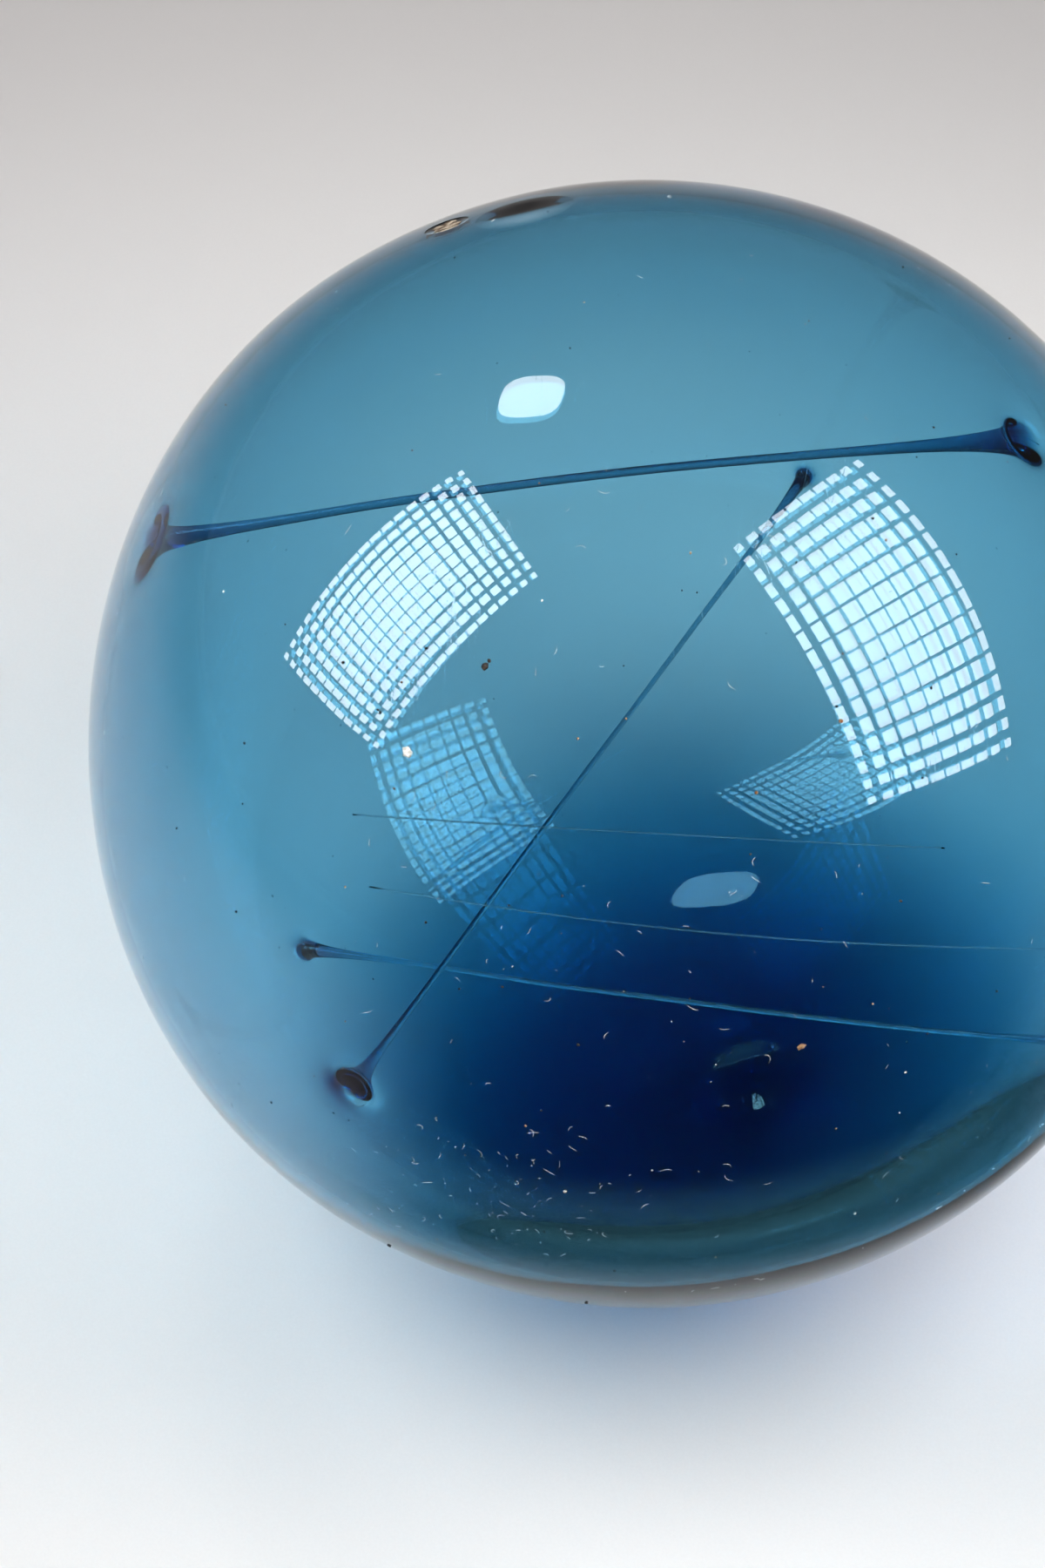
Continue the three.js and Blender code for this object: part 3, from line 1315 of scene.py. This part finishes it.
    def _add_inside(self, skin: Skin) -> None:
        """Adds the hollow's surface, which faces the hollow, and the threads across it.

        Args:
            skin: The skin they are added to.
        """
        form = self.form
        feet = [(thread, foot) for thread in self.threads for foot in (thread.first, thread.last)]
        spots = [thread.spot(foot, form) for thread, foot in feet]
        rings = [thread.rings(form) for thread in self.threads]
        rims = [end for ring in rings for end in (ring[0], ring[-1])]
        rim_ways = [unit(rim - form.centre()) for rim in rims]
        ball = HoledBall.cut(self.inner_cells, spots, rim_ways, self.clearance)
        first = skin.add_points(form.inside_points(ball.ways))
        skin.quads.append(ball.quads[:, ::-1] + first)
        starts = [skin.add_points(rim) for rim in rims]
        skin.triangles.append(ball.stitches[:, ::-1] + first)
        for head, tail, ring in zip(starts[::2], starts[1::2], rings):
            inner = skin.add_points(ring[1:-1])
            count = len(ring) - 2
            skin.add_tube(inner, count, Thread.spokes, outward=True)
            skin.join_rings(head, inner, Thread.spokes)
            skin.join_rings(inner + (count - 1) * Thread.spokes, tail, Thread.spokes)


# ---------------------------------------------------------------------------
# Lint, grit and dirt on the skin
# ---------------------------------------------------------------------------


@dataclass(frozen=True)
class Cluster:
    """A patch of the skin where lint gathered: its middle and spread as the looker sees it."""

    right: float
    up: float
    spread_right: float
    spread_up: float
    number: int


@dataclass(frozen=True)
class Crumb:
    """One grain of grit: its place as the looker sees it, its width and its height."""

    right: float
    up: float
    width: float
    height: float


@dataclass
class Dust:
    """Everything that settled on the glass: fibres of lint, grains of grit and a crust of dirt,
    with one pale grain that is a painted highlight.
    """

    form: BallForm
    seed: int = 41
    farthest_out: float = 0.93
    fibre_radius: float = 0.027 * MM
    fibre_length: Range = (0.25 * MM, 1.85 * MM)
    fibre_bend: float = 1.6
    fibre_twist: float = 2.5
    fibre_lift: Range = (0.02 * MM, 0.10 * MM)
    fibre_taper: float = 0.75
    grit_out: float = 0.92
    grit_width: Range = (0.12 * MM, 0.42 * MM)
    grit_height: float = 0.5
    grit_rise: float = 0.42
    grit_lumpiness: float = 0.24
    crust: float = 0.14 * MM
    crust_middle: float = 0.15 * MM
    crust_edge: float = 0.012 * MM
    crust_gap: float = 0.004 * MM
    clusters: tuple[Cluster, ...] = (
        Cluster(-0.130, -0.746, 0.075, 0.060, 60),
        Cluster(-0.361, -0.738, 0.060, 0.050, 26),
        Cluster(0.186, 0.318, 0.050, 0.022, 14),
        Cluster(0.0, 0.05, 0.55, 0.45, 80),
        Cluster(0.0, -0.55, 0.45, 0.22, 70),
    )
    dark_crumbs: tuple[Crumb, ...] = (
        Crumb(-0.4815, 0.113, 0.55 * MM, 0.20 * MM),
        Crumb(-0.2534, 0.113, 0.95 * MM, 0.60 * MM),
        Crumb(-0.2480, 0.122, 0.50 * MM, 0.40 * MM),
        Crumb(-0.4184, 0.036, 0.45 * MM, 0.16 * MM),
        Crumb(-0.4153, -0.8875, 0.60 * MM, 0.20 * MM),
        Crumb(-0.0684, -0.9700, 0.60 * MM, 0.20 * MM),
    )
    tan_crumbs: tuple[Crumb, ...] = (
        Crumb(0.3015, 0.0483, 0.55 * MM, 0.20 * MM),
        Crumb(0.1736, -0.0674, 0.45 * MM, 0.18 * MM),
        Crumb(0.263, -0.468, 1.10 * MM, 0.30 * MM),
    )
    pale_crumbs_and_highlight: tuple[Crumb, ...] = (
        # The first pale crumb is a painted highlight: a white glint made as a grain on the skin.
        Crumb(-0.3721, -0.0242, 1.40 * MM, 0.30 * MM),
        Crumb(-0.1050, -0.7300, 0.50 * MM, 0.20 * MM),
    )

    def build(self) -> list[bpy.types.Object]:
        """Makes the lint, the grit, the painted highlight among the pale grit, and the dirt in the
        smaller burst bubble.

        Returns:
            The pieces, riding on their body in place of the CAD ball.
        """
        draw = np.random.default_rng(self.seed)
        pieces = [self._piece("lint", self._lint(draw), LINT_WHITE, Shading.SMOOTH)]
        for name, crumbs, more, finish, shading in (
            ("dark_grit", self.dark_crumbs, 130, GRIT_DARK, Shading.FLAT),
            ("tan_grit", self.tan_crumbs, 60, GRIT_TAN, Shading.FLAT),
            ("pale_grit_and_painted_highlight", self.pale_crumbs_and_highlight, 40, PALE_GRIT_AND_HIGHLIGHT, Shading.SMOOTH),
        ):
            pieces.append(self._piece(name, self._grit(draw, crumbs, more), finish, shading))
        pieces.append(self._piece("pit_dirt", self._pit_dirt(), PIT_CRUST, Shading.FLAT))
        return pieces

    @staticmethod
    def _piece(name: str, skin: Skin, finish: Dirt, shading: Shading) -> bpy.types.Object:
        """Makes one piece that rides with the glass.

        Args:
            name: The piece's name.
            skin: Its points and faces.
            finish: Its dirt.
            shading: Smooth or flat faces.

        Returns:
            The piece.
        """
        piece = skin.to_object(name, shading)
        piece.data.materials.append(finish.material())
        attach(piece, BODY)
        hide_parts(BALL_NODE)
        return piece

    def _lint(self, draw: np.random.Generator) -> Skin:
        """Makes the fibres: short bent hairs that lie along the skin with their ends lifted.

        Args:
            draw: Where the random numbers come from.

        Returns:
            Their skin.
        """
        skin = Skin()
        step = np.linspace(-0.5, 0.5, 11)
        shortest, longest = self.fibre_length
        for cluster in self.clusters:
            for _ in range(cluster.number):
                right = cluster.right + cluster.spread_right * draw.normal()
                up = cluster.up + cluster.spread_up * draw.normal()
                shrink = min(1.0, self.farthest_out / math.hypot(right, up))
                length = shortest + (longest - shortest) * draw.random() ** 2
                heading = draw.uniform(0.0, 2.0 * math.pi)
                bend, twist = draw.normal(0.0, self.fibre_bend), draw.normal(0.0, self.fibre_twist)
                lift = draw.uniform(*self.fibre_lift)
                angle = heading + bend * step + twist * step**2
                walk = np.stack([np.cos(angle), np.sin(angle)], axis=-1) * length / (len(step) - 1)
                flat = np.cumsum(walk, axis=0) / self.form.radius
                way = front_way(right * shrink, up * shrink)
                ways = unit(way + flat @ np.stack(Spot(way, 1.0, 1.0).tangents()))
                height = self.fibre_radius * 1.1 + lift * 4.0 * step**2
                line = ways * (self.form.outside(ways) + height)[:, None] + self.form.centre()
                thin = self.fibre_radius * (1.0 - self.fibre_taper * np.abs(2.0 * step) ** 4)
                rings = tube_rings(line, ways, thin, 6)
                skin.add_closed(rings, line[0], line[-1])
        return skin

    def _grit(self, draw: np.random.Generator, crumbs: tuple[Crumb, ...], more: int) -> Skin:
        """Makes the named crumbs, and more of them, most very small, over the upper skin.

        Args:
            draw: Where the random numbers come from.
            crumbs: The named crumbs.
            more: How many more there are.

        Returns:
            Their skin.
        """
        reach = self.grit_out * np.sqrt(draw.random(more))
        turn = draw.uniform(0.0, 2.0 * math.pi, more)
        ways = np.array(
            [front_way(crumb.right, crumb.up) for crumb in crumbs]
            + [front_way(r * math.cos(t), r * math.sin(t)) for r, t in zip(reach, turn)]
        )
        finest, coarsest = self.grit_width
        small = finest + (coarsest - finest) * draw.random(more) ** 3
        width = np.concatenate([[crumb.width for crumb in crumbs], small])
        height = np.concatenate([[crumb.height for crumb in crumbs], self.grit_height * small])
        length = width * draw.uniform(0.6, 1.0, len(width))
        halves = np.stack([width, length, height], axis=-1) / 2.0
        out = self.form.outside(ways) + self.grit_rise * height
        middles = ways * out[:, None] + self.form.centre()
        phases = draw.uniform(0.0, 2.0 * math.pi, (len(ways), 3))
        skin = Skin()
        add_lumps(skin, middles, ways, halves, phases, True, self.grit_lumpiness)
        return skin

    def _pit_dirt(self) -> Skin:
        """Makes the crust in the smaller burst bubble: a ragged patch, thickest near its middle.

        Returns:
            Its skin.
        """
        spot = self.form.bubbles[1].spot(self.form.radius)
        rings, spokes = 12, 40
        turn = even_turns(spokes)
        edge = 0.74 + sum(
            size * np.sin(lobes * turn + shift)
            for size, lobes, shift in ((0.13, 2.0, -0.6), (0.07, 5.0, 1.0), (0.04, 11.0, 0.0))
        )
        out = (np.arange(rings) + 1.0)[:, None] / rings
        share = (out * edge)[..., None]
        rim = spot.ways_at(np.array([1.0]), spokes)[0]
        ways = unit(rim * share + spot.way * (1.0 - share))
        bumps = np.sin(ways @ np.array([900.0, 300.0, 0.0]))
        bumps = 0.35 * bumps * np.sin(ways @ np.array([-200.0, 1100.0, 500.0]))
        thick = self.crust * (1.0 - out**3) * (1.0 + bumps) + self.crust_edge
        base, centre = self.form.outside(ways), self.form.centre()
        skin = Skin()
        top = skin.add_points(ways * (base + thick)[..., None] + centre)
        bottom = skin.add_points(ways * (base + self.crust_gap)[..., None] + centre)
        skin.add_tube(top, rings, spokes, outward=False)
        skin.add_tube(bottom, rings, spokes, outward=True)
        last = (rings - 1) * spokes
        skin.join_rings(bottom + last, top + last, spokes)
        middle = self.form.outside(spot.way[None])
        tips = ((top, self.crust_middle, True), (bottom, self.crust_gap, False))
        for first, lift, outward in tips:
            point = skin.add_points(spot.way * (middle + lift)[:, None] + centre)
            skin.add_cap(point, first, spokes, outward)
        return skin


# ---------------------------------------------------------------------------
# The studio
# ---------------------------------------------------------------------------


@dataclass(frozen=True)
class Softbox:
    """A flat light that faces the ball, with an egg-crate grid of cells in front or without.

    A light that isn't in the glass lights the paper, but the ball doesn't mirror it.
    """

    name: str
    way: tuple[float, float, float]
    long_way: tuple[float, float, float]
    distance: float
    width: float
    height: float
    power: float
    cells: tuple[int, int] | None = None
    in_glass: bool = True

    brightness = 1.35
    half_opening = 0.44
    height_over_floor = 75.0 * MM

    def build(self) -> bpy.types.Object:
        """Makes the light.

        Returns:
            The light, in the scene.
        """
        data = bpy.data.lights.new(self.name, "AREA")
        data.shape = "RECTANGLE"
        data.size, data.size_y = self.width, self.height
        data.energy = self.power
        self._pattern(data)
        lamp = bpy.data.objects.new(self.name, data)
        lamp.visible_camera = False
        lamp.visible_glossy = lamp.visible_transmission = self.in_glass
        back = Vector(self.way).normalized()
        up = Vector(self.long_way)
        up = (up - back * up.dot(back)).normalized()
        across = up.cross(back)
        turn = Matrix((across, up, back)).transposed().to_4x4()
        place = back * self.distance + Vector((0.0, 0.0, self.height_over_floor))
        lamp.matrix_world = Matrix.Translation(place) @ turn
        bpy.context.scene.collection.objects.link(lamp)
        return lamp

    def _pattern(self, data: bpy.types.Light) -> None:
        """Breaks the light into cells, each less open near the rim, or rounds its corners.

        Args:
            data: The light's data.
        """
        data.use_nodes = True
        wiring = Wiring(data.node_tree)
        emission = next(node for node in data.node_tree.nodes if node.type == "EMISSION")
        axes = wiring.axes(wiring.node("ShaderNodeNewGeometry").outputs["Parametric"])
        off = [wiring.math("ABSOLUTE", wiring.math("SUBTRACT", axes[axis], 0.5)) for axis in "XY"]
        if self.cells is None:
            corner = wiring.math("ADD", *(wiring.math("POWER", part, 3.0) for part in off))
            wiring.put(emission.inputs["Strength"], wiring.math("LESS_THAN", corner, 0.5**3))
            return
        light: object = self.brightness
        for axis, part, count in zip("XY", off, self.cells):
            step = wiring.math("FRACT", wiring.math("MULTIPLY", axes[axis], float(count)))
            within = wiring.math("ABSOLUTE", wiring.math("SUBTRACT", step, 0.5))
            opening = wiring.math("SUBTRACT", self.half_opening, wiring.math("POWER", part, 2.0))
            light = wiring.math("MULTIPLY", wiring.math("LESS_THAN", within, opening), light)
        wiring.put(emission.inputs["Strength"], light)


@dataclass
class Studio:
    """A pale paper floor, the lights, a black card and a camera that looks down on the ball.

    The ball's share is its radius over the view's height, and its right and up are
    how far its middle lies from the view's, in radii. The floor and the card fade
    between two distances from the middle of the floor, in metres, and the card's
    two sides between two azimuths each, in degrees. The floor's fade darkens the
    paper away from the ball: painted shade for the light that falls off.
    """

    radius: float = 75.0 * MM
    lens: float = 95.0
    sensor: float = 36.0
    ball_share: float = 0.360389
    ball_right: float = 0.2177
    ball_up: float = 0.0822
    lights: tuple[Softbox, ...] = (
        Softbox("softbox_left", (-0.692, -0.114, 0.713), (0.603, 0.451, 0.658),
                distance=0.445, width=0.230, height=0.345, power=2.45, cells=(12, 18)),
        Softbox("softbox_right", (0.667, -0.158, 0.728), (-0.493, 0.639, 0.590),
                distance=0.340, width=0.215, height=0.336, power=1.95, cells=(10, 16)),
        Softbox("ceiling_light", (-0.322, 0.470, 0.822), (0.921, -0.125, 0.370),
                distance=0.50, width=0.080, height=0.086, power=0.22),
        Softbox("fill_light", (0.0, -0.62, 0.78), (1.0, 0.0, 0.0),
                distance=0.75, width=0.5, height=0.7, power=1.05, in_glass=False),
    )
    room_light: float = 0.006
    room_glows: tuple[tuple[str, float, float, float], ...] = (
        ("Z", 0.45, 0.98, 0.16), ("Y", 0.0, 0.9, 0.10), ("X", -0.5, -0.95, 0.12),
    )
    room_colour: Colour = (0.95, 0.97, 1.0, 1.0)
    floor_drop: float = 0.1 * MM
    floor_half: float = 1.6
    floor_shade_fade: Range = (0.09, 0.30)
    near_paper: Colour = (0.80, 0.787, 0.777, 1.0)
    # The far paper's darker colour is painted shade.
    far_paper_shade: Colour = (0.60, 0.57, 0.56, 1.0)
    paper_speck: Colour = (0.60, 0.59, 0.58, 1.0)
    card_fade: Range = (0.050, 0.092)
    card_sides: tuple[Range, Range] = ((-150.0, -115.0), (8.0, -32.0))
    card_setback: float = 0.065

    def build(self) -> None:
        """Makes the floor, the lights, the world and the camera."""
        self._floor()
        for light in self.lights:
            light.build()
        self._room()
        self._black_card()
        self._camera()
        scene = bpy.context.scene
        scene.view_settings.view_transform = "Standard"
        scene.cycles.max_bounces = 18
        scene.cycles.transmission_bounces = 18
        scene.cycles.diffuse_bounces = 4
        scene.cycles.glossy_bounces = 12
        scene.cycles.blur_glossy = 0.0
        scene.cycles.sample_clamp_indirect = 60.0

    def _sheet(self, name: str, z: float, material: bpy.types.Material) -> bpy.types.Object:
        """Lays a square sheet at a height, as a part of the studio.

        Args:
            name: The sheet's name.
            z: Its height.
            material: Its material.

        Returns:
            The sheet.
        """
        half = self.floor_half
        mesh = bpy.data.meshes.new(name)
        corners = [(-half, -half, z), (half, -half, z), (half, half, z), (-half, half, z)]
        mesh.from_pydata(corners, [], [(0, 1, 2, 3)])
        mesh.materials.append(material)
        sheet = bpy.data.objects.new(name, mesh)
        bpy.context.scene.collection.objects.link(sheet)
        return sheet

    def _floor(self) -> None:
        """Makes the paper floor just under the standing flat; its colour darkens away from the ball
        as painted shade.
        """
        material, wiring, shader = new_material("pale_paper")
        # Painted shade: the paper's colour darkens from near to far, standing in for the light that
        # falls off.
        fade = wiring.ramp(wiring.length(wiring.object_place()), *self.floor_shade_fade)
        colour = wiring.blend(fade, self.near_paper, self.far_paper_shade)
        grain = SurfaceWear().add(wiring).outputs["Grain"]
        specks = wiring.ramp(grain, 0.2, 0.8, 0.10)
        wiring.fill(shader, {
            "Base Color": wiring.blend(specks, colour, self.paper_speck),
            "Normal": wiring.bump(grain, 0.15, 0.05 * MM),
            "Roughness": 0.9,
        })
        self._sheet("paper_floor", -self.floor_drop, material)

    def _room(self) -> None:
        """Makes the dim room: dark towards the looker, brighter overhead, behind and left.

        Each glow rises along one axis from where it starts to where it is full.
        """
        world = bpy.data.worlds.new("dim_room")
        bpy.context.scene.world = world
        world.use_nodes = True
        wiring = Wiring(world.node_tree)
        axes = wiring.axes(wiring.node("ShaderNodeTexCoord").outputs["Generated"])
        total: object = self.room_light
        for axis, start, full, light in self.room_glows:
            total = wiring.math("ADD", wiring.ramp(axes[axis], start, full, light), total)
        sky = world.node_tree.nodes["Background"]
        wiring.fill(sky, {"Color": self.room_colour, "Strength": total})

    def _black_card(self) -> None:
        """Lays a black card in front of the ball that only the glass shows.

        It keeps the paper's glare off the glass, as a polarising filter does. The
        card's soft outline is a ring's sector: its radius and its azimuth each fade.
        Light that has gone through the glass meets the card farther out.
        """
        material = bpy.data.materials.new("black_card")
        material.use_nodes = True
        tree = material.node_tree
        tree.nodes.remove(tree.nodes["Principled BSDF"])
        wiring = Wiring(tree)
        place = wiring.object_place()
        axes = wiring.axes(place)
        azimuth = wiring.math("ARCTAN2", axes["Y"], axes["X"])
        sides = [wiring.ramp(azimuth, *map(math.radians, side)) for side in self.card_sides]
        through_glass = wiring.node("ShaderNodeLightPath").outputs["Is Transmission Ray"]
        start = wiring.math("MULTIPLY", through_glass, self.card_setback)
        reach = wiring.math("SUBTRACT", wiring.length(place), start)
        sector = wiring.math("MULTIPLY", *sides)
        cover = wiring.math("MULTIPLY", wiring.ramp(reach, *self.card_fade), sector)
        clear = wiring.node("ShaderNodeBsdfTransparent")
        black = wiring.node("ShaderNodeBsdfDiffuse", {"Color": (0.0, 0.0, 0.0, 1.0)})
        layers = {0: cover, 1: clear.outputs["BSDF"], 2: black.outputs["BSDF"]}
        mix = wiring.node("ShaderNodeMixShader", layers)
        wiring.fill(tree.nodes["Material Output"], {"Surface": mix.outputs["Shader"]})
        card = self._sheet("black_card", -0.5 * self.floor_drop, material)
        for ray in ("camera", "diffuse", "shadow", "volume_scatter"):
            setattr(card, "visible_" + ray, False)

    def _camera(self) -> None:
        """Makes the camera: square on to the ball from above, turned a little to frame it."""
        data = bpy.data.cameras.new("camera")
        data.lens = self.lens
        data.sensor_width = self.sensor
        camera = bpy.data.objects.new("camera", data)
        bpy.context.scene.collection.objects.link(camera)
        e = math.radians(LOOK_DOWN)
        back = Vector((0.0, -math.cos(e), math.sin(e)))
        up = Vector((0.0, math.sin(e), math.cos(e)))
        right = Vector((1.0, 0.0, 0.0))
        half_angle = math.atan(self.ball_share * self.sensor / self.lens)
        distance = self.radius / math.sin(half_angle)
        centre = Vector((0.0, 0.0, self.radius))
        camera.location = centre + back * distance
        aim = centre - right * self.ball_right * self.radius - up * self.ball_up * self.radius
        camera.rotation_euler = (aim - camera.location).to_track_quat("-Z", "Y").to_euler()
        bpy.context.scene.camera = camera


def main() -> None:
    """Builds the glass, the dust on it and the studio, and reports each piece."""
    logging.basicConfig(level=logging.INFO, format="%(message)s")
    glass = GlassFloat()
    for piece in glass.build() + Dust(glass.form).build():
        LOG.info("%s: %d faces", piece.name, len(piece.data.polygons))
    Studio().build()


if __name__ == "__main__":
    main()
